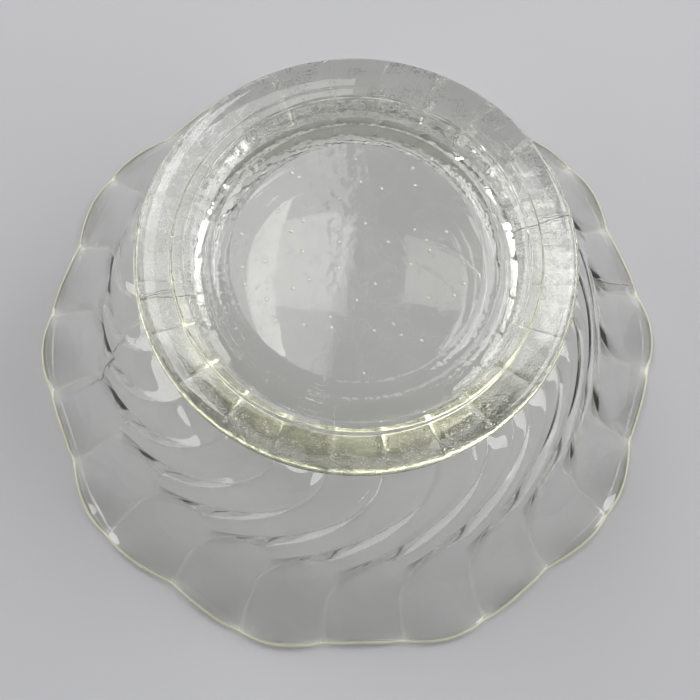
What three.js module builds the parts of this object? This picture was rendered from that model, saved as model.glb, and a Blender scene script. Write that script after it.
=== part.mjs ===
import * as THREE from 'three';
import { mergeVertices } from 'three/addons/utils/BufferGeometryUtils.js';

// A pressed glass dessert bowl that lies upside down on its scalloped rim, with its foot upwards.
// Millimetres. The origin is the centre of the rim's resting plane, and +Z runs up through the foot.

// Rim and brim
const RIM_RADIUS = 65;             // at the crests of the scallops
const LIP_RADIUS = 1.35;           // rounded, fire-polished edge
const BRIM_ANGLE = 30;             // degrees from level, where the brim runs into the lip
const SCALLOPS = 10;
const SCALLOP_DEPTH = 2.2;         // from crest to hollow, at the lip
const SCALLOP_START = 6.7;         // degrees, where the first crest stands

// Body
const BRIM_WIDTH = 14.4;           // how far the brim flares out past the shoulder
const SHOULDER_HEIGHT = 16.2;      // where the wall turns into the brim, above the rim's plane
const SHOULDER_LEAN = 20;          // degrees from upright, of the wall at the shoulder
const BODY_HEIGHT = 43.6;          // where the outside turns level, beside the waist
const BODY_FULLNESS = [0.55, 0.55]; // shares of the curve that run out level and down the wall's lean

// Inside of the bowl
const WALL = 3.4;                  // glass between the outer crests and the inside, at the shoulder
const FLOOR_THICKNESS = 2.9;       // from the middle of the hollow to the waist
const HOLLOW_FULLNESS = [0.85, 0.75];

// Waist, where bowl and foot are fused
const WAIST_RADIUS = 30.3;
const FILLET_HEIGHT = 1;           // of the fillet between the waist and the body
const FILLET_WIDTH = 2.7;

// Foot
const FOOT_RADIUS = 39.3;
const FOOT_HEIGHT = 8.6;           // from the waist to the bearing ring
const FOOT_FULLNESS = 3;           // power of the superellipse of its shoulder
const EDGE_DROP = 2.2;             // the widest circle lies this far below the bearing ring
const EDGE_UNDERCUT = 0.7;         // size of the rounding under the widest circle
const BEARING_INSET = 6.7;         // from the widest circle in to the bearing ring
const BEARING_WIDTH = 2.1;
const BEARING_STEP = 0.3;          // the bearing ring stands this much proud of the glass around it
const BEARING_BEVEL = 0.2;

// Recess inside the bearing ring
const COLLAR_WIDTH = 4.7;          // slope between the bearing ring and the mouth of the recess
const RECESS_MOUTH_DROP = 1.9;     // below the bearing ring
const RECESS_WALL_WIDTH = 3.2;     // from the mouth in to the edge of the recess floor
const RECESS_DROP = 2.9;           // of the flat recess floor below the bearing ring

// Swirl ribs: round on the body, flat flutes under the foot, with a sharp crease between neighbours
const RIBS = 24;
const SWIRL = 42.5;                // degrees that a rib turns between rim and waist
const STRAIGHT_AT_RIM = 9;         // length of wall next to the lip where the ribs run straight
const SWIRL_LENGTH = 42;           // length of wall over which they turn
const CREASE_AT_RIM = 0.6;
const CREASE_ON_BODY = 1.3;
const CREASE_AT_WAIST = 0.5;
const CREASE_AT_FOOT_EDGE = 0.3;
const ROUND_RIB = 2.1;             // power of the curve across a rib
const FLAT_RIB = 8;

// How finely the surfaces are divided, and how much closer the steps stand beside a crease
const STEPS_PER_RIB = 5;
const STEPS = RIBS * STEPS_PER_RIB;
const STEP_CROWDING = 0.1;

const shoulderRadius = RIM_RADIUS - BRIM_WIDTH;
const waistHeight = BODY_HEIGHT + FILLET_HEIGHT;
const bearingHeight = waistHeight + FOOT_HEIGHT;

function at(radius, height) {
  return new THREE.Vector2(radius, height);
}

// The direction at an angle in degrees above level, outwards.
function towards(angle) {
  const radians = THREE.MathUtils.degToRad(angle);
  return at(Math.cos(radians), Math.sin(radians));
}

const downWall = towards(SHOULDER_LEAN - 90);
const outBrim = towards(-BRIM_ANGLE);

// A stretch of an ellipse about a centre, between two angles in degrees.
function ellipse(centre, width, height, from, to) {
  const [start, end] = [from, to].map(THREE.MathUtils.degToRad);
  return new THREE.EllipseCurve(centre.x, centre.y, width, height, start, end, end < start);
}

// A quarter of a superellipse, from its top above the centre down to its widest point: the powers of the
// distance from the centre / width and of rise / height add up to 1.
function superellipse(centre, width, height, fullness) {
  const curve = new THREE.Curve();
  curve.getPoint = (share) => {
    const angle = (share * Math.PI) / 2;
    const out = Math.sin(angle) ** (2 / fullness);
    const up = Math.max(Math.cos(angle), 0) ** (2 / fullness);
    return at(centre.x + width * out, centre.y + height * up);
  };
  return curve;
}

// A wall that leaves its top level and comes down to the shoulder with its lean.
function bodyCurve(top, radius, [topShare, sideShare]) {
  const end = at(radius, SHOULDER_HEIGHT);
  const beside = at(THREE.MathUtils.lerp(top.x, radius, topShare), top.y);
  const above = end.clone().addScaledVector(downWall, -sideShare * (top.y - SHOULDER_HEIGHT));
  return new THREE.CubicBezierCurve(top, beside, above, end);
}

// A brim that goes on from the wall's lean, and meets the lip at the brim's angle.
function brimCurve(bodyRadius, lipPoint) {
  const start = at(bodyRadius, SHOULDER_HEIGHT);
  const length = lipPoint.clone().sub(start).cross(outBrim) / downWall.cross(outBrim);
  return new THREE.QuadraticBezierCurve(start, start.clone().addScaledVector(downWall, length), lipPoint);
}

// Rings of the surface along a chain of curves of radius and height, drawn with the glass on their right.
// Each ring has its point, the cut that a crease takes out of it, the power of its ribs, how deep its
// scallops are and how far its ribs have turned. Crease, power and scallop are given at both ends of a
// stretch, and turn is a function of the distance along the surface to the end of the chain.
function ringsAlong(turn, stretches) {
  const total = stretches.reduce((sum, { curve }) => sum + curve.getLength(), 0);
  const rings = [];
  let passed = 0;
  stretches.forEach((stretch, index) => {
    const { curve, spans, crease = [0, 0], power = [FLAT_RIB, FLAT_RIB], scallop = [0, 0] } = stretch;
    for (let i = index === 0 ? 0 : 1; i <= spans; i += 1) {
      const share = i / spans;
      const tangent = curve.getTangentAt(share);
      const inwards = at(tangent.y, -tangent.x);
      rings.push({
        point: curve.getPointAt(share),
        cut: inwards.multiplyScalar(THREE.MathUtils.lerp(crease[0], crease[1], share)),
        power: THREE.MathUtils.lerp(power[0], power[1], share),
        scallop: SCALLOP_DEPTH * THREE.MathUtils.lerp(scallop[0], scallop[1], share) ** 2,
        turn: turn(total - passed - share * curve.getLength()),
      });
    }
    passed += curve.getLength();
  });
  return rings;
}

// Share of the way across its rib at one step, from crease to crease.
function acrossRib(step) {
  const share = (step % STEPS_PER_RIB) / STEPS_PER_RIB;
  return share - STEP_CROWDING * Math.sin(2 * Math.PI * share);
}

// Share of the scallop's depth at an angle: 0 on a crest, 1 in the hollow half way to the next crest.
function scallopShare(angle) {
  return (1 - Math.cos(SCALLOPS * (angle - THREE.MathUtils.degToRad(SCALLOP_START)))) / 2;
}

// Closes a stack of rings into one skin, from the point of the axis above them to the one below them.
function skin(top, rings, bottom) {
  const positions = [0, 0, top, 0, 0, bottom];
  const firstOfRing = 2;
  rings.forEach(({ point, cut, power, scallop, turn }) => {
    for (let step = 0; step < STEPS; step += 1) {
      const across = acrossRib(step);
      const rib = Math.floor(step / STEPS_PER_RIB);
      const angle = ((rib + across) / RIBS) * 2 * Math.PI + THREE.MathUtils.degToRad(turn);
      const crease = Math.abs(2 * across - 1) ** power;
      const radius = point.x + cut.x * crease - scallop * scallopShare(angle);
      const height = point.y + cut.y * crease;
      positions.push(radius * Math.cos(angle), radius * Math.sin(angle), height);
    }
  });
  const indices = [];
  for (let step = 0; step < STEPS; step += 1) {
    const next = (step + 1) % STEPS;
    const last = firstOfRing + (rings.length - 1) * STEPS;
    indices.push(0, firstOfRing + step, firstOfRing + next);
    indices.push(1, last + next, last + step);
    for (let ring = 0; ring + 1 < rings.length; ring += 1) {
      const above = firstOfRing + ring * STEPS;
      const below = above + STEPS;
      indices.push(above + step, below + step, below + next);
      indices.push(above + step, below + next, above + next);
    }
  }
  const geometry = new THREE.BufferGeometry();
  geometry.setAttribute('position', new THREE.Float32BufferAttribute(positions, 3));
  geometry.setIndex(indices);
  const merged = mergeVertices(geometry);
  merged.computeVertexNormals();
  return merged;
}

// The ribs' turn at a distance from the lip: straight, then a smooth swirl, then straight to the waist.
function swirlAt(fromLip) {
  return SWIRL * THREE.MathUtils.smoothstep(fromLip, STRAIGHT_AT_RIM, STRAIGHT_AT_RIM + SWIRL_LENGTH);
}

// The inside has no ribs to turn.
function unturned() {
  return 0;
}

// The ribs of the foot carry on at the turn they have at the waist.
function fullTurn() {
  return SWIRL;
}

// The bowl: ribbed outside from the waist down to the lip, smooth inside up to the floor of the hollow.
function makeBowl(material) {
  const lipCentre = at(RIM_RADIUS - LIP_RADIUS, LIP_RADIUS);
  const across = towards(90 - BRIM_ANGLE).multiplyScalar(LIP_RADIUS);
  const lipArc = (from, to) => ellipse(lipCentre, LIP_RADIUS, LIP_RADIUS, from, to);
  const levelRadius = WAIST_RADIUS + FILLET_WIDTH;
  const outside = ringsAlong(swirlAt, [
    {
      curve: ellipse(at(levelRadius, waistHeight), FILLET_WIDTH, FILLET_HEIGHT, 180, 270),
      spans: 2,
      crease: [CREASE_AT_WAIST, CREASE_AT_WAIST],
    },
    {
      curve: bodyCurve(at(levelRadius, BODY_HEIGHT), shoulderRadius, BODY_FULLNESS),
      spans: 10,
      crease: [CREASE_AT_WAIST, CREASE_ON_BODY],
      power: [FLAT_RIB, ROUND_RIB],
    },
    {
      curve: brimCurve(shoulderRadius, lipCentre.clone().add(across)),
      spans: 7,
      crease: [CREASE_ON_BODY, CREASE_AT_RIM],
      power: [ROUND_RIB, ROUND_RIB],
      scallop: [0, 1],
    },
  ]);

  const hollowTop = waistHeight - FLOOR_THICKNESS;
  const hollow = bodyCurve(at(0, hollowTop), shoulderRadius - WALL, HOLLOW_FULLNESS);
  const innerBrim = brimCurve(shoulderRadius - WALL, lipCentre.clone().sub(across));
  const inside = ringsAlong(unturned, [
    {
      curve: lipArc(90 - BRIM_ANGLE, -90),
      spans: 4,
      crease: [CREASE_AT_RIM, 0],
      power: [ROUND_RIB, ROUND_RIB],
      scallop: [1, 1],
    },
    { curve: lipArc(-90, -90 - BRIM_ANGLE), spans: 1, scallop: [1, 1] },
    {
      curve: new THREE.QuadraticBezierCurve(innerBrim.v2, innerBrim.v1, innerBrim.v0),
      spans: 5,
      scallop: [1, 0],
    },
    { curve: new THREE.CubicBezierCurve(hollow.v3, hollow.v2, hollow.v1, hollow.v0), spans: 12 },
  ]);

  // The last ring inside is only the middle of the hollow, which the skin adds by itself.
  const rings = [...outside, ...inside.slice(1, -1)];
  const bowl = new THREE.Mesh(skin(waistHeight, rings, hollowTop), material);
  bowl.name = 'bowl';
  return bowl;
}

// The foot: recess, collar, bearing ring and rounded shoulder above, and a fluted cone down to the waist.
function makeFoot(material) {
  const bearingOuter = FOOT_RADIUS - BEARING_INSET;
  const bearingInner = bearingOuter - BEARING_WIDTH;
  const collarHeight = bearingHeight - BEARING_STEP;
  const collarEdge = at(bearingInner - BEARING_BEVEL, collarHeight);
  const shoulderStart = at(bearingOuter + BEARING_BEVEL, collarHeight);

  const mouth = at(collarEdge.x - COLLAR_WIDTH, bearingHeight - RECESS_MOUTH_DROP);
  const recessEdge = at(mouth.x - RECESS_WALL_WIDTH, bearingHeight - RECESS_DROP);
  const mouthRise = RECESS_DROP - RECESS_MOUTH_DROP;
  const recessWall = new THREE.CubicBezierCurve(
    recessEdge,
    at(recessEdge.x + 0.3 * RECESS_WALL_WIDTH, recessEdge.y),
    at(mouth.x - 0.27 * RECESS_WALL_WIDTH, mouth.y - 0.45 * mouthRise),
    mouth,
  );
  const collar = new THREE.CubicBezierCurve(
    mouth,
    at(mouth.x + COLLAR_WIDTH / 2, THREE.MathUtils.lerp(mouth.y, collarHeight, 0.1)),
    at(collarEdge.x - 0.3 * COLLAR_WIDTH, THREE.MathUtils.lerp(mouth.y, collarHeight, 0.94)),
    collarEdge,
  );

  const bearingStart = at(bearingInner, bearingHeight);
  const bearingEnd = at(bearingOuter, bearingHeight);

  const edgeHeight = bearingHeight - EDGE_DROP;
  const shoulderCentre = at(shoulderStart.x, edgeHeight);
  const shoulderWidth = FOOT_RADIUS - shoulderStart.x;
  const undercutCentre = at(FOOT_RADIUS - EDGE_UNDERCUT, edgeHeight);
  const undercut = at(undercutCentre.x, edgeHeight - EDGE_UNDERCUT);
  const waist = at(WAIST_RADIUS, waistHeight);

  const rings = ringsAlong(fullTurn, [
    { curve: recessWall, spans: 4 },
    { curve: collar, spans: 3 },
    { curve: new THREE.LineCurve(collarEdge, bearingStart), spans: 1 },
    { curve: new THREE.LineCurve(bearingStart, bearingEnd), spans: 1 },
    { curve: new THREE.LineCurve(bearingEnd, shoulderStart), spans: 1 },
    {
      curve: superellipse(shoulderCentre, shoulderWidth, collarHeight - edgeHeight, FOOT_FULLNESS),
      spans: 8,
    },
    {
      curve: ellipse(undercutCentre, EDGE_UNDERCUT, EDGE_UNDERCUT, 0, -90),
      spans: 2,
      crease: [0, CREASE_AT_FOOT_EDGE],
    },
    {
      curve: new THREE.LineCurve(undercut, waist),
      spans: 3,
      crease: [CREASE_AT_FOOT_EDGE, CREASE_AT_WAIST],
    },
  ]);
  const foot = new THREE.Mesh(skin(recessEdge.y, rings, waistHeight), material);
  foot.name = 'foot';
  return foot;
}

const dessertBowl = new THREE.Group();
dessertBowl.add(makeBowl(new THREE.MeshStandardMaterial({ color: 0xdfe3dc, roughness: 0.04, metalness: 0 })));
dessertBowl.add(makeFoot(new THREE.MeshStandardMaterial({ color: 0xcfd3bd, roughness: 0.04, metalness: 0 })));

export default dessertBowl;
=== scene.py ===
"""The looks of a clear pressed glass dessert bowl: swirl-ribbed, scalloped, upside down on its rim."""
import math

import bpy
import numpy as np
from mathutils import Matrix, Vector


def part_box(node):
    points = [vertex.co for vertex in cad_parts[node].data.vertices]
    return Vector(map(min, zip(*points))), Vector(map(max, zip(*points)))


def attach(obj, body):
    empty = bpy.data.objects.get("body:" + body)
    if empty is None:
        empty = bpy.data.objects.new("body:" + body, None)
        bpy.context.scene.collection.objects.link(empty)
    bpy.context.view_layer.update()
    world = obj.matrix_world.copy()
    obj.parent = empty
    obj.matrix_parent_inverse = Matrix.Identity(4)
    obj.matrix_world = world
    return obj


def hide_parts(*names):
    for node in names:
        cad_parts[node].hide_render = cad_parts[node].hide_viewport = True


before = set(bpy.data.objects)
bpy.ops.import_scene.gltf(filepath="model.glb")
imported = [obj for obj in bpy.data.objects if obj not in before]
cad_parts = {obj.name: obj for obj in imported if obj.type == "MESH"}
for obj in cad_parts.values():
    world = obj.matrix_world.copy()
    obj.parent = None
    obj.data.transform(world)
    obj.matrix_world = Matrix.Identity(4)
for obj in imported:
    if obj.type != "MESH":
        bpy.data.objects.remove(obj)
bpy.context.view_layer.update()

MM = 0.001

# Sizes of the glass, in millimetres and degrees. The outer sizes of the foot come from the frame.
foot_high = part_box("foot")[1]
bowl_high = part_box("bowl")[1]
WAIST_HEIGHT = bowl_high.z / MM
BEARING_HEIGHT = foot_high.z / MM
FOOT_RADIUS = foot_high.x / MM

# Rim and brim
RIM_RADIUS = 65
LIP_RADIUS = 1.35
BRIM_ANGLE = 30
SCALLOPS = 10
SCALLOP_DEPTH = 2.2
SCALLOP_START = 6.7

# Body and hollow. The fullness gives the shares of the curve that run out level and down the wall's lean.
SHOULDER_RADIUS = 50.6
SHOULDER_HEIGHT = 16.2
SHOULDER_LEAN = 20
WALL = 3.4
FLOOR_THICKNESS = 2.9
BODY_FULLNESS = (0.55, 0.55)
HOLLOW_FULLNESS = (0.85, 0.75)

# Waist, where bowl and foot are fused
WAIST_RADIUS = 30.3
FILLET_HEIGHT = 1
FILLET_WIDTH = 2.7

# Foot, with the power of the superellipse of its shoulder
FOOT_FULLNESS = 3
EDGE_DROP = 2.2
EDGE_UNDERCUT = 0.2
BEARING_INSET = 6.7
BEARING_WIDTH = 2.1
BEARING_STEP = 0.3
BEARING_BEVEL = 0.2

# Recess in the foot. The corners steer its two curves, as radius and height from the point that they leave.
COLLAR_WIDTH = 4.7
COLLAR_CORNERS = ((2.3, 0.15), (-1.4, -0.1))
RECESS_MOUTH_DROP = 1.9
RECESS_WALL_WIDTH = 3.2
RECESS_WALL_CORNERS = ((0.96, 0), (-0.85, -0.45))
RECESS_DROP = 2.9

# Swirl ribs: round on the body, flat flutes under the foot, by the power of the curve across a rib
RIBS = 24
SWIRL = 42.5
STRAIGHT_AT_RIM = 9
SWIRL_LENGTH = 42
CREASE_AT_RIM = 0.8
CREASE_ON_BODY = 1.3
CREASE_AT_WAIST = 0.25
CREASE_AT_FOOT_EDGE = 0.05
ROUND_RIB = 2.1
FLAT_RIB = 8

# How finely the surfaces are divided: points that measure a curve, steps across a rib and how much closer
# they stand beside a crease, and corners of the floor
CURVE_POINTS = 600
STEPS_PER_RIB = 20
STEPS = RIBS * STEPS_PER_RIB
STEP_CROWDING = 0.1
FLOOR_CORNERS = 96

# The hair's breadth left between the two fused faces
FUSED_GAP = 0.03

# What a stretch of surface can be marked with, as shares: roughened by the cold mould, dimpled, dotted with
# seeds, crossed by the mould's seam, and painted with a pale highlight on the lip and along the creases
MARKS = ("rough", "dimples", "seeds", "seam", "painted_highlight")
MATT_ROUGHNESS = 0.12

# How strongly a pale diffuse white is mixed in: as a painted highlight on the lip and along a crease, and as
# the dull white of a seed; and the power that keeps the crease's painted highlight to a line
LIP_PAINTED_HIGHLIGHT = 0.55
CREASE_PAINTED_HIGHLIGHT = 0.1
CREASE_LINE = 14
SEED_WEAR = 0.6

# Patterns of noise in the glass: the size of each in millimetres, and how many finer octaves it has. The
# grain and the speckles are coarser than real ones, so that they show.
PATTERNS = {
    "ripple": (9, 1), "grain": (0.5, 2), "dimples": (1.5, 1), "uneven": (2.2, 1), "speckles": (0.35, 2),
    "patches": (3.5, 1), "jag": (1.2, 3),
}

# The relief: how deep each pattern lies, in millimetres, and on which mark. The ripple lies everywhere.
RIPPLE_DEPTH = 0.05
RELIEF = (
    ("grain", 0.012, "rough"), ("dimples", 0.1, "dimples"), ("uneven", 0.15, "rough"),
    ("speckles", -0.06, "rough"), ("seeds", 0.08, "seeds"), ("shear", -0.25, "seeds"), ("seam", 0.15, "seam"),
)

# The noise over which a speckle and a patch of them appear, and the Y over which the skin turns uneven
SPECKLE_EDGE = (0.56, 0.64)
PATCH_EDGE = (0.45, 0.6)
UNEVEN_EDGE = (-15, 5)

# Seeds: how far apart they lie, and the share of that over which each fades out
SEED_SPACING = 6
SEED_EDGE = (0.025, 0.06)

# The mould's seam, through the axis, and the arc of the shear mark in the recess, which fades over its end.
# A jagged line wanders by so much, and its edge is how far from its middle it starts to fade and is gone.
SEAM_ANGLE = 17.5
SEAM_WANDER = 0.8
SEAM_EDGE = (0.1, 0.35)
SHEAR_CENTRE = (9.5, -10.2)
SHEAR_RADIUS = 15
SHEAR_MIDDLE = (18.2, 2.2)
SHEAR_LENGTH = 10
SHEAR_END = 1
SHEAR_WANDER = 1.6
SHEAR_EDGE = (0.15, 0.45)

# The share of lamplight that goes straight through each face of the glass, beside what the glass bends: on
# the crest of a rib, which spreads it, in a crease, which gathers it, and elsewhere
CREST_LIGHT = 0.05
CREASE_LIGHT = 0.9
PLAIN_LIGHT = 0.45

# The camera, fitted to the circles of the rim and the foot
CAMERA_ELEVATION = 72.455
CAMERA_ROLL = 5.222
CAMERA_DISTANCE = 279.5
CAMERA_LENS = 67.35
CAMERA_LOOK = (0.23, -1.07, 0)

# The studio. Each lamp stands at this distance in metres, and is placed and sized by angles seen from the
# bowl: across to the right, along away from the viewer, width and height. Then come the radiance of its face,
# with the light of a white wall at 1, and its outline.
LAMP_DISTANCE = 1.0
LAMPS = {
    "box_left": (-23, 21.4, 14, 48, 5.0, "RECTANGLE"),
    "box_right": (37, 21.4, 12, 46, 5.0, "RECTANGLE"),
    "strip_left": (-8.5, 21.4, 15, 20, 2.7, "RECTANGLE"),
    "strip_right": (19.5, 21.4, 23, 14, 2.7, "RECTANGLE"),
    "side_left": (-65, 10, 13, 66, 4.4, "ELLIPSE"),
    "side_right": (65, 10, 13, 66, 4.4, "ELLIPSE"),
    "back_left": (-36, 66, 10, 9, 4.4, "ELLIPSE"),
    "back_right": (37, 66, 10, 9, 4.4, "ELLIPSE"),
    "front": (-12, -43, 8, 6, 5.0, "ELLIPSE"),
}
FLOOR_RADIUS = 0.6

# The room: dim overhead, lighter along the horizon, and with a lighter wall in one direction
ROOM_RADIANCE = 0.06
HORIZON_RADIANCE = 0.3
HORIZON_EDGE = (0.1, 0.35)
WALL_RADIANCE = 0.35
WALL_DIRECTION = (0.7, -0.6, 0.38)
WALL_EDGE = (0.6, 1.0)

# What makes a Map Range node rise smoothly from 0 to 1, and what makes it fall from 1 to 0 instead
SMOOTHLY = {"interpolation_type": "SMOOTHSTEP"}
FALLING = {"To Min": 1, "To Max": 0}


def srgb(colour):
    """The linear colour of an sRGB hex value such as "#C8C8C9"."""
    parts = np.array([int(colour[i:i + 2], 16) for i in (1, 3, 5)]) / 255
    linear = np.where(parts <= 0.04045, parts / 12.92, ((parts + 0.055) / 1.055) ** 2.4)
    return (*linear.tolist(), 1.0)


def node(tree, kind, settings=(), inputs=()):
    """Adds a node with its own settings. Each of its inputs takes a value or the output that feeds it."""
    made = tree.nodes.new(kind)
    for name, value in dict(settings).items():
        setattr(made, name, value)
    for name, given in dict(inputs).items():
        if isinstance(given, bpy.types.NodeSocket):
            tree.links.new(given, made.inputs[name])
        else:
            made.inputs[name].default_value = given
    return made


def at(radius, height):
    """A point of a profile, as radius and height."""
    return np.array([radius, height], float)


def bezier(*corners):
    """A Bezier curve: its corners are drawn together, two by two, by the share of the way along it."""
    def curve(share):
        points = np.array(corners, float)[:, None, :]
        while len(points) > 1:
            points = points[:-1] + (points[1:] - points[:-1]) * share[None, :, None]
        return points[0]
    return curve


def ellipse(centre, width, height, start, end):
    """A stretch of an ellipse about a centre, between two angles in degrees."""
    def curve(share):
        angle = np.radians(start + (end - start) * share)
        return centre + np.stack([width * np.cos(angle), height * np.sin(angle)], -1)
    return curve


def evenly(curve, spans):
    """Points that cut a curve into equal spans, and its length: it is drawn finely, then measured along."""
    fine = curve(np.linspace(0, 1, CURVE_POINTS))
    length = np.append(0, np.cumsum(np.hypot(*np.diff(fine, axis=0).T)))
    wanted = np.linspace(0, length[-1], spans + 1)
    return np.stack([np.interp(wanted, length, fine[:, i]) for i in (0, 1)], -1), length[-1]


def superellipse(centre, width, height, fullness):
    """A quarter of a superellipse, from its top above the centre down to its widest point: the powers of the
    distance from the centre / width and of rise / height add up to 1."""
    def curve(share):
        angle = share * np.pi / 2
        out = width * np.sin(angle) ** (2 / fullness)
        up = height * np.cos(angle).clip(0) ** (2 / fullness)
        return centre + np.stack([out, up], -1)
    return curve


def smoothstep(value, low, high):
    """0 below low, 1 above high, and a cubic without corners between them."""
    share = np.clip((value - low) / (high - low), 0, 1)
    return share * share * (3 - 2 * share)


def swirl_at(from_lip):
    """The ribs' turn at a distance from the lip: straight, then a smooth swirl, then straight again."""
    return SWIRL * smoothstep(from_lip, STRAIGHT_AT_RIM, STRAIGHT_AT_RIM + SWIRL_LENGTH)


def chain(turn, stretches):
    """Rings along a chain of curves drawn with the glass on their right. Each ring has its point, the cut
    that a crease takes out of it, straight into the glass, the power of its ribs, the depth of its scallops,
    the turn of its ribs by the distance to the end of the chain, and its marks. Crease, power, scallop and
    marks run evenly from one end of a stretch to the other."""
    parts, passed = [], 0
    for stretch in stretches:
        points, length = evenly(stretch["curve"], stretch["spans"])
        tangent = np.gradient(points, axis=0)
        tangent /= np.hypot(*tangent.T)[:, None]
        inwards = np.stack([tangent[:, 1], -tangent[:, 0]], -1)
        share = np.linspace(0, 1, len(points))
        plain = {"crease": 0, "power": FLAT_RIB, "scallop": 0, "ribbed": 0, **dict.fromkeys(MARKS, 0)}
        rings = {
            key: np.interp(share, [0, 1], np.broadcast_to(stretch.get(key, value), 2))
            for key, value in plain.items()
        }
        rings["point"] = points
        rings["cut"] = inwards * rings["crease"][:, None]
        rings["scallop"] = SCALLOP_DEPTH * rings["scallop"] ** 2
        rings["turn"] = passed + share * length
        parts.append(rings)
        passed += length
    rings = joined(*parts)
    rings["turn"] = turn(passed - rings["turn"])
    return rings


def joined(*chains):
    """Several chains as one, without the point that each shares with the one before it."""
    first, *rest = chains
    return {key: np.concatenate([first[key], *(c[key][1:] for c in rest)]) for key in first}


def across_ribs():
    """Shares of the way across its rib for every step round the axis: closer together beside the creases,
    where the surface bends most."""
    share = np.arange(STEPS_PER_RIB) / STEPS_PER_RIB
    return np.tile(share - STEP_CROWDING * np.sin(2 * np.pi * share), RIBS)


def from_crest():
    """How far every step round the axis is from the crest of its rib: 0 on the crest, 1 in the crease."""
    return np.abs(2 * across_ribs() - 1)


def revolve(rings):
    """Rings to points: every ring goes round the axis, less a power curve for each rib and a cosine for each
    scallop. A low power gives round ribs, and a high one flat flutes with a narrow crease between them."""
    rib = np.repeat(np.arange(RIBS), STEPS_PER_RIB)
    angle = ((rib + across_ribs()) * 2 * np.pi / RIBS)[None, :] + np.radians(rings["turn"])[:, None]
    crease = from_crest()[None, :] ** rings["power"][:, None]
    hollow = (1 - np.cos(SCALLOPS * (angle - math.radians(SCALLOP_START)))) / 2
    radius = rings["point"][:, :1] + rings["cut"][:, :1] * crease - rings["scallop"][:, None] * hollow
    height = rings["point"][:, 1:] + rings["cut"][:, 1:] * crease
    return np.stack([radius * np.cos(angle), radius * np.sin(angle), height], -1)


def drawn_on(rings):
    """What is written on the surface, ring by ring and step by step: the marks, with a painted highlight
    along the creases as a power of the way from the crest, and the share of light let through, by the square
    of that way."""
    ribbed = rings["ribbed"][:, None]
    fields = {mark: np.repeat(rings[mark][:, None], STEPS, axis=1) for mark in MARKS}
    # A painted highlight along each crease: a thin line of pale diffuse white
    fields["painted_highlight"] += CREASE_PAINTED_HIGHLIGHT * ribbed * from_crest() ** CREASE_LINE
    on_ribs = CREST_LIGHT + (CREASE_LIGHT - CREST_LIGHT) * from_crest() ** 2
    fields["light"] = PLAIN_LIGHT + ribbed * (on_ribs - PLAIN_LIGHT)
    return fields


def skin(name, rings, top, bottom, fused):
    """A closed mesh from a stack of rings, with a fan to the axis above the first and below the last. The fan
    named by fused is the face where bowl and foot are one glass: it is marked, and its edge is kept sharp."""
    grid = revolve(rings)
    rows = len(grid)
    points = np.concatenate([grid.reshape(-1, 3), [[0, 0, top], [0, 0, bottom]]]) * MM
    here = np.arange(rows * STEPS).reshape(rows, STEPS)
    after = np.roll(here, -1, axis=1)
    quads = np.stack([here[:-1], here[1:], after[1:], after[:-1]], -1).reshape(-1, 4)
    above = np.stack([np.full(STEPS, rows * STEPS), here[0], after[0]], -1)
    below = np.stack([np.full(STEPS, rows * STEPS + 1), after[-1], here[-1]], -1)
    mesh = bpy.data.meshes.new(name)
    mesh.from_pydata(points.tolist(), [], [*quads.tolist(), *above.tolist(), *below.tolist()])
    mesh.shade_smooth()

    fan = np.zeros(len(mesh.polygons), np.float32)
    start = len(quads) if fused == "above" else len(quads) + STEPS
    fan[start:start + STEPS] = 1
    mesh.attributes.new("fused", "FLOAT", "FACE").data.foreach_set("value", fan)
    for field, values in drawn_on(rings).items():
        values = np.append(values, values[[0, -1], 0]).astype(np.float32)
        mesh.attributes.new(field, "FLOAT", "POINT").data.foreach_set("value", values)
    ends = np.empty(len(mesh.edges) * 2, np.int32)
    mesh.edges.foreach_get("vertices", ends)
    ring = here[0] if fused == "above" else here[-1]
    sharp = np.isin(ends.reshape(-1, 2), ring).all(1)
    mesh.attributes.new("sharp_edge", "BOOLEAN", "EDGE").data.foreach_set("value", sharp)

    made = bpy.data.objects.new(name, mesh)
    bpy.context.scene.collection.objects.link(made)
    return made


def lean():
    """The direction down the wall at the shoulder, as radius and height."""
    angle = math.radians(SHOULDER_LEAN)
    return at(math.sin(angle), -math.cos(angle))


def body_curve(top, radius, fullness):
    """A cubic Bezier wall: it leaves its top level and comes down to the shoulder with its lean. The fullness
    says how much of its width and of its height lie along these two directions."""
    end = at(radius, SHOULDER_HEIGHT)
    width, rise = end[0] - top[0], top[1] - end[1]
    return bezier(top, top + at(fullness[0] * width, 0), end - lean() * fullness[1] * rise, end)


def brim_curve(body_radius, lip_point):
    """The three corners of a brim that goes on from the wall's lean and meets the lip at the brim's angle:
    the middle one is where these two lines cross."""
    start = at(body_radius, SHOULDER_HEIGHT)
    down = lean()
    angle = math.radians(BRIM_ANGLE)
    outwards = at(math.cos(angle), -math.sin(angle))
    way = lip_point - start
    sideways = at(outwards[1], -outwards[0])
    return start, start + down * (way @ sideways) / (down @ sideways), lip_point


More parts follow.
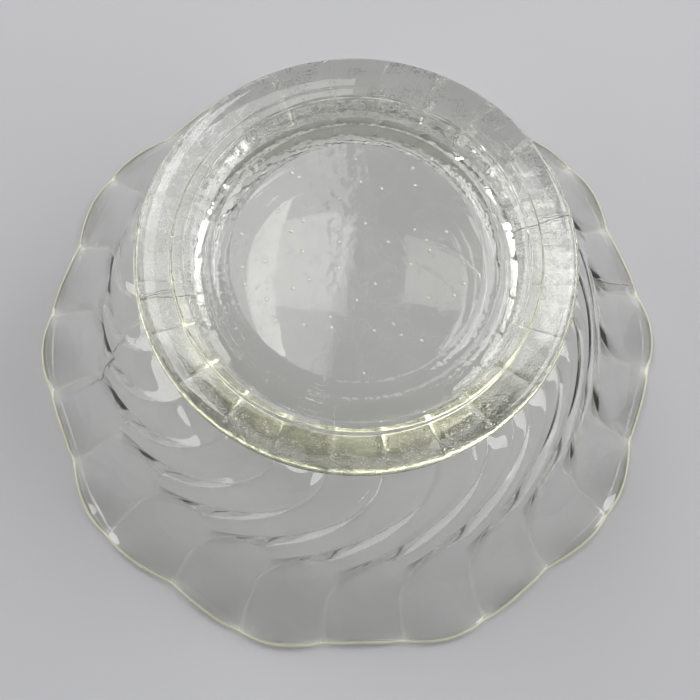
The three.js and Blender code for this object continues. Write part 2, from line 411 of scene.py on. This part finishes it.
def make_bowl():
    """The bowl: ribbed outside from waist to lip, and smooth inside up to the floor of the hollow."""
    lip_centre = at(RIM_RADIUS - LIP_RADIUS, LIP_RADIUS)
    angle = math.radians(BRIM_ANGLE)
    across = at(math.sin(angle), math.cos(angle)) * LIP_RADIUS
    level_radius = WAIST_RADIUS + FILLET_WIDTH
    body_height = WAIST_HEIGHT - FILLET_HEIGHT
    waist = WAIST_HEIGHT - FUSED_GAP / 2
    fillet = ellipse(at(level_radius, WAIST_HEIGHT), FILLET_WIDTH, FILLET_HEIGHT, 180, 270)
    body = body_curve(at(level_radius, body_height), SHOULDER_RADIUS, BODY_FULLNESS)
    brim = bezier(*brim_curve(SHOULDER_RADIUS, lip_centre + across))
    outside = chain(swirl_at, [
        {"curve": fillet, "spans": 8, "crease": CREASE_AT_WAIST, "rough": 1, "seam": 1},
        {
            "curve": body, "spans": 56, "crease": (CREASE_AT_WAIST, CREASE_ON_BODY),
            "power": (FLAT_RIB, ROUND_RIB), "seam": 1, "ribbed": 1,
        },
        {
            "curve": brim, "spans": 36, "crease": (CREASE_ON_BODY, CREASE_AT_RIM),
            "power": ROUND_RIB, "scallop": (0, 1), "seam": 1, "ribbed": 1,
        },
    ])
    hollow_radius = SHOULDER_RADIUS - WALL
    hollow_top = WAIST_HEIGHT - FLOOR_THICKNESS
    lip = ellipse(lip_centre, LIP_RADIUS, LIP_RADIUS, 90 - BRIM_ANGLE, -90 - BRIM_ANGLE)
    inner_brim = bezier(*brim_curve(hollow_radius, lip_centre - across)[::-1])
    hollow = body_curve(at(0, hollow_top), hollow_radius, HOLLOW_FULLNESS)
    inside = chain(np.zeros_like, [
        {
            "curve": lip, "spans": 14, "crease": (CREASE_AT_RIM, 0),
            # The lip carries a painted highlight of pale diffuse white, which fades out round the lip
            "power": ROUND_RIB, "scallop": 1, "painted_highlight": (LIP_PAINTED_HIGHLIGHT, 0), "ribbed": 1,
        },
        {"curve": inner_brim, "spans": 24, "scallop": (1, 0)},
        {"curve": lambda share: hollow(1 - share), "spans": 56},
    ])
    rings = joined(outside, {key: value[:-1] for key, value in inside.items()})
    rings["point"][0, 1] = waist
    return skin("glass_bowl", rings, waist, hollow_top, "above")


def make_foot():
    """The foot: recess, collar, bearing ring and rounded shoulder above, and a ribbed flare to the waist."""
    bearing_outer = FOOT_RADIUS - BEARING_INSET
    bearing_inner = bearing_outer - BEARING_WIDTH
    collar_height = BEARING_HEIGHT - BEARING_STEP
    collar_edge = at(bearing_inner - BEARING_BEVEL, collar_height)
    shoulder_start = at(bearing_outer + BEARING_BEVEL, collar_height)
    mouth = at(collar_edge[0] - COLLAR_WIDTH, BEARING_HEIGHT - RECESS_MOUTH_DROP)
    recess_edge = at(mouth[0] - RECESS_WALL_WIDTH, BEARING_HEIGHT - RECESS_DROP)
    edge_height = BEARING_HEIGHT - EDGE_DROP
    undercut_centre = at(FOOT_RADIUS - EDGE_UNDERCUT, edge_height)
    undercut = undercut_centre - at(0, EDGE_UNDERCUT)
    waist = at(WAIST_RADIUS, WAIST_HEIGHT + FUSED_GAP / 2)
    recess = bezier(at(0, recess_edge[1]), recess_edge)
    wall = bezier(
        recess_edge, recess_edge + at(*RECESS_WALL_CORNERS[0]), mouth + at(*RECESS_WALL_CORNERS[1]), mouth,
    )
    collar = bezier(mouth, mouth + at(*COLLAR_CORNERS[0]), collar_edge + at(*COLLAR_CORNERS[1]), collar_edge)
    ring_inner, ring_outer = at(bearing_inner, BEARING_HEIGHT), at(bearing_outer, BEARING_HEIGHT)
    shoulder_centre = at(shoulder_start[0], edge_height)
    width, rise = FOOT_RADIUS - shoulder_start[0], collar_height - edge_height
    rings = chain(lambda from_end: np.full_like(from_end, SWIRL), [
        {"curve": recess, "spans": 12, "rough": 0.3, "seeds": 1},
        {"curve": wall, "spans": 20, "dimples": 1},
        {"curve": collar, "spans": 20, "dimples": 1},
        {"curve": bezier(collar_edge, ring_inner), "spans": 2},
        {"curve": bezier(ring_inner, ring_outer), "spans": 4},
        {"curve": bezier(ring_outer, shoulder_start), "spans": 2},
        {"curve": superellipse(shoulder_centre, width, rise, FOOT_FULLNESS), "spans": 32, "seam": 1},
        {
            "curve": ellipse(undercut_centre, EDGE_UNDERCUT, EDGE_UNDERCUT, 0, -90), "spans": 8,
            "crease": (0, CREASE_AT_FOOT_EDGE), "rough": 1, "seam": 1,
        },
        {
            "curve": bezier(undercut, waist), "spans": 36,
            "crease": (CREASE_AT_FOOT_EDGE, CREASE_AT_WAIST), "rough": 1, "seam": 1,
        },
    ])
    rings = {key: value[1:] for key, value in rings.items()}
    return skin("glass_foot", rings, recess_edge[1], waist[1], "below")


def jagged_line(tree, distance, line, jag, wander, edge):
    """A thin jagged line where a distance has the line's value: 1 on it, then fading out over its edge. The
    jag, a pattern about a half, moves it by its wander. Line, wander and edge are in millimetres."""
    moved = node(tree, "ShaderNodeMath", {"operation": "MULTIPLY_ADD"}, {0: jag, 1: wander * MM, 2: distance})
    beside = node(
        tree, "ShaderNodeMath", {"operation": "SUBTRACT"}, {0: moved.outputs[0], 1: (line + wander / 2) * MM},
    )
    apart = node(tree, "ShaderNodeMath", {"operation": "ABSOLUTE"}, {0: beside.outputs[0]})
    low, high = edge
    return node(
        tree, "ShaderNodeMapRange", SMOOTHLY,
        {"Value": apart.outputs[0], "From Min": low * MM, "From Max": high * MM, **FALLING},
    ).outputs["Result"]


def chilled_skin(tree, place, patterns):
    """The skin where the cold mould touched the glass: speckles that come in patches, and unevenness on the
    far side alone. Each is its noise times a smooth step."""
    back = node(tree, "ShaderNodeSeparateXYZ", inputs={"Vector": place}).outputs["Y"]
    far_edge = [way * MM for way in UNEVEN_EDGE]
    spots, patches, far = (
        node(
            tree, "ShaderNodeMapRange", SMOOTHLY, {"Value": value, "From Min": low, "From Max": high},
        ).outputs["Result"]
        for value, (low, high) in (
            (patterns["speckles"], SPECKLE_EDGE), (patterns["patches"], PATCH_EDGE), (back, far_edge),
        )
    )
    return {
        name: node(tree, "ShaderNodeMath", {"operation": "MULTIPLY"}, {0: pattern, 1: where}).outputs[0]
        for name, pattern, where in (("speckles", spots, patches), ("uneven", patterns["uneven"], far))
    }


def seeds_in_recess(tree, place):
    """Seeds, the small bubbles under the skin: a round dot about the point of each cell of a random grid."""
    cells = node(
        tree, "ShaderNodeTexVoronoi", {"voronoi_dimensions": "2D"},
        {"Vector": place, "Scale": 1 / (SEED_SPACING * MM)},
    )
    low, high = SEED_EDGE
    return node(
        tree, "ShaderNodeMapRange", SMOOTHLY,
        {"Value": cells.outputs["Distance"], "From Min": low, "From Max": high, **FALLING},
    ).outputs["Result"]


def shear_mark(tree, place, jag):
    """The shear mark, where the drop of molten glass was cut off: a jagged arc about its centre, which fades
    out half its length away from its middle."""
    flat = node(tree, "ShaderNodeVectorMath", {"operation": "MULTIPLY"}, {0: place, 1: (1, 1, 0)}).outputs[0]
    from_centre, from_middle = (
        node(
            tree, "ShaderNodeVectorMath", {"operation": "DISTANCE"}, {0: flat, 1: (x * MM, y * MM, 0)},
        ).outputs["Value"]
        for x, y in (SHEAR_CENTRE, SHEAR_MIDDLE)
    )
    arc = jagged_line(tree, from_centre, SHEAR_RADIUS, jag, SHEAR_WANDER, SHEAR_EDGE)
    end = SHEAR_LENGTH / 2
    near = node(
        tree, "ShaderNodeMapRange", SMOOTHLY,
        {"Value": from_middle, "From Min": end * MM, "From Max": (end + SHEAR_END) * MM, **FALLING},
    ).outputs["Result"]
    return node(tree, "ShaderNodeMath", {"operation": "MULTIPLY"}, {0: arc, 1: near}).outputs[0]


def mould_seam(tree, place, jag):
    """The seam where the mould's halves met: a jagged line in an upright plane through the axis."""
    angle = math.radians(SEAM_ANGLE)
    beside = node(
        tree, "ShaderNodeVectorMath", {"operation": "DOT_PRODUCT"},
        {0: place, 1: (-math.sin(angle), math.cos(angle), 0)},
    ).outputs["Value"]
    return jagged_line(tree, beside, 0, jag, SEAM_WANDER, SEAM_EDGE)


def soda_lime_glass(name):
    """Soda-lime glass, pressed and fire polished: clear and glossy, faintly yellow-green where it is thick.
    To the eye it has a slow ripple all over, a matt and speckled skin where the mould chilled it, a dimpled
    recess wall, seeds and a shear mark in the recess, and a fine raised seam. A pale diffuse white is mixed
    in on the seeds, as their dull white, and on the lip and along the creases as a painted highlight. The
    fused face is open, so that bowl and foot read as one body of glass."""
    made = bpy.data.materials.new(name)
    made.use_nodes = True
    tree = made.node_tree
    tree.nodes.clear()
    place = node(tree, "ShaderNodeTexCoord").outputs["Object"]
    written = {
        field: node(tree, "ShaderNodeAttribute", {"attribute_name": field}).outputs["Fac"]
        for field in (*MARKS, "fused", "light")
    }

    # The patterns, and from them the relief in metres
    patterns = {
        pattern: node(
            tree, "ShaderNodeTexNoise", inputs={"Vector": place, "Scale": 1 / (size * MM), "Detail": octaves},
        ).outputs["Fac"]
        for pattern, (size, octaves) in PATTERNS.items()
    }
    patterns.update(chilled_skin(tree, place, patterns))
    patterns["seeds"] = seeds_in_recess(tree, place)
    patterns["shear"] = shear_mark(tree, place, patterns["jag"])
    patterns["seam"] = mould_seam(tree, place, patterns["jag"])
    height = node(
        tree, "ShaderNodeMath", {"operation": "MULTIPLY"}, {0: patterns["ripple"], 1: RIPPLE_DEPTH * MM},
    ).outputs[0]
    for pattern, depth, mark in RELIEF:
        deep = node(tree, "ShaderNodeMath", {"operation": "MULTIPLY"}, {0: patterns[pattern], 1: depth * MM})
        height = node(
            tree, "ShaderNodeMath", {"operation": "MULTIPLY_ADD"},
            {0: deep.outputs[0], 1: written[mark], 2: height},
        ).outputs[0]
    relief = node(tree, "ShaderNodeBump", inputs={"Distance": 1.0, "Height": height}).outputs["Normal"]

    # Clear glass, and a pale diffuse white: the dull white of a seed, and a painted highlight on the lip and
    # along the creases
    roughness = node(
        tree, "ShaderNodeMath", {"operation": "MULTIPLY"}, {0: written["rough"], 1: MATT_ROUGHNESS},
    ).outputs[0]
    glass = node(
        tree, "ShaderNodeBsdfPrincipled", inputs={
            "Base Color": srgb("#FFFFFF"), "IOR": 1.52, "Transmission Weight": 1.0,
            "Roughness": roughness, "Normal": relief,
        },
    )
    seed_and_painted_highlight_white = node(tree, "ShaderNodeBsdfDiffuse", inputs={"Color": srgb("#F5F3D4"), "Normal": relief})
    seeded = node(
        tree, "ShaderNodeMath", {"operation": "MULTIPLY"}, {0: patterns["seeds"], 1: written["seeds"]},
    ).outputs[0]
    # The share of pale diffuse white: the seeds' dull white, and the painted highlight on the lip and creases
    seed_and_painted_highlight_share = node(
        tree, "ShaderNodeMath", {"operation": "MULTIPLY_ADD"}, {0: seeded, 1: SEED_WEAR, 2: written["painted_highlight"]},
    ).outputs[0]

    # The fused face is open, and a shadow lets through as much light as is written on the surface
    opened = node(tree, "ShaderNodeBsdfTransparent")
    passing = node(tree, "ShaderNodeBsdfTransparent", inputs={"Color": written["light"]})
    shadow = node(tree, "ShaderNodeLightPath").outputs["Is Shadow Ray"]
    surface = glass.outputs[0]
    for share, other in ((seed_and_painted_highlight_share, seed_and_painted_highlight_white), (written["fused"], opened), (shadow, passing)):
        surface = node(
            tree, "ShaderNodeMixShader", inputs={"Fac": share, 1: surface, 2: other.outputs[0]},
        ).outputs[0]
    tint = node(tree, "ShaderNodeVolumeAbsorption", inputs={"Color": srgb("#F3F7A0"), "Density": 7.0})
    node(tree, "ShaderNodeOutputMaterial", inputs={"Surface": surface, "Volume": tint.outputs[0]})
    return made


def pale_table():
    """A plain pale painted table: matt, even, a light neutral grey."""
    made = bpy.data.materials.new("pale_table")
    made.use_nodes = True
    tree = made.node_tree
    tree.nodes.clear()
    matt = node(tree, "ShaderNodeBsdfPrincipled", inputs={"Base Color": srgb("#BABABD"), "Roughness": 0.8})
    node(tree, "ShaderNodeOutputMaterial", inputs={"Surface": matt.outputs[0]})
    return made


def make_floor():
    """A level disc that the rim rests on."""
    angle = np.linspace(0, 2 * np.pi, FLOOR_CORNERS, endpoint=False)
    points = np.stack([np.cos(angle), np.sin(angle), np.zeros_like(angle)], -1) * FLOOR_RADIUS
    mesh = bpy.data.meshes.new("floor")
    mesh.from_pydata(points.tolist(), [], [list(range(len(points)))])
    mesh.materials.append(pale_table())
    made = bpy.data.objects.new("floor", mesh)
    bpy.context.scene.collection.objects.link(made)


def make_camera():
    """The camera, in metres: it looks down from in front along its own -Z, with Y up, and is then rolled."""
    elevation = math.radians(CAMERA_ELEVATION)
    look = Vector(CAMERA_LOOK) * MM
    back = Vector((0, -math.cos(elevation), math.sin(elevation)))
    place = look + back * CAMERA_DISTANCE * MM
    turn = (look - place).to_track_quat("-Z", "Y").to_matrix().to_4x4()
    data = bpy.data.cameras.new("camera")
    data.lens = CAMERA_LENS
    data.sensor_width = 36
    data.clip_start = 0.01
    made = bpy.data.objects.new("camera", data)
    made.matrix_world = Matrix.Translation(place) @ turn @ Matrix.Rotation(math.radians(CAMERA_ROLL), 4, "Z")
    bpy.context.scene.collection.objects.link(made)
    bpy.context.scene.camera = made


def soft_panel(name, across, along, width, height, radiance, outline):
    """A soft flat lamp that faces the bowl from a sphere round it: turned from overhead, first along, away
    from the viewer, then across, to the right. Its power is the radiance of its face times area and pi."""
    a, b = math.radians(across), math.radians(along)
    place = Vector((math.sin(a), math.cos(a) * math.sin(b), math.cos(a) * math.cos(b))) * LAMP_DISTANCE
    data = bpy.data.lights.new(name, "AREA")
    data.shape = outline
    data.size = 2 * LAMP_DISTANCE * math.tan(math.radians(width) / 2)
    data.size_y = 2 * LAMP_DISTANCE * math.tan(math.radians(height) / 2)
    data.energy = radiance * math.pi * data.size * data.size_y
    towards = -place.normalized()
    right = Vector((math.cos(a), -math.sin(a) * math.sin(b), -math.sin(a) * math.cos(b)))
    turn = Matrix((right, towards.cross(right), -towards)).transposed()
    made = bpy.data.objects.new(name, data)
    made.matrix_world = Matrix.Translation(place) @ turn.to_4x4()
    bpy.context.scene.collection.objects.link(made)


def make_light():
    """Plain soft studio light: two tall soft boxes with a strip beside each, a low panel at either side, two
    small ones behind and one in front, and a dim room."""
    for name, lamp in LAMPS.items():
        soft_panel(name, *lamp)
    world = bpy.data.worlds.new("room")
    world.use_nodes = True
    tree = world.node_tree
    direction = node(tree, "ShaderNodeTexCoord").outputs["Generated"]
    rise = node(tree, "ShaderNodeSeparateXYZ", inputs={"Vector": direction}).outputs["Z"]
    facing = node(
        tree, "ShaderNodeVectorMath", {"operation": "DOT_PRODUCT"}, {0: direction, 1: WALL_DIRECTION},
    ).outputs["Value"]
    low, high = HORIZON_EDGE
    horizon = node(
        tree, "ShaderNodeMapRange", SMOOTHLY, {"Value": rise, "From Min": low, "From Max": high, **FALLING},
    ).outputs["Result"]
    low, high = WALL_EDGE
    wall = node(
        tree, "ShaderNodeMapRange", SMOOTHLY, {"Value": facing, "From Min": low, "From Max": high},
    ).outputs["Result"]
    level = ROOM_RADIANCE
    for share, more in ((horizon, HORIZON_RADIANCE - ROOM_RADIANCE), (wall, WALL_RADIANCE)):
        level = node(
            tree, "ShaderNodeMath", {"operation": "MULTIPLY_ADD"}, {0: share, 1: more, 2: level},
        ).outputs[0]
    background = tree.nodes["Background"]
    background.inputs["Color"].default_value = srgb("#FFFFFF")
    tree.links.new(level, background.inputs["Strength"])
    bpy.context.scene.world = world


make_camera()
for piece, stands_for in ((make_bowl(), "bowl"), (make_foot(), "foot")):
    piece.data.materials.append(soda_lime_glass(f"{stands_for}_soda_lime_glass"))
    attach(piece, "root")
    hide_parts(stands_for)
make_floor()
make_light()
bpy.context.scene.view_settings.view_transform = "Standard"
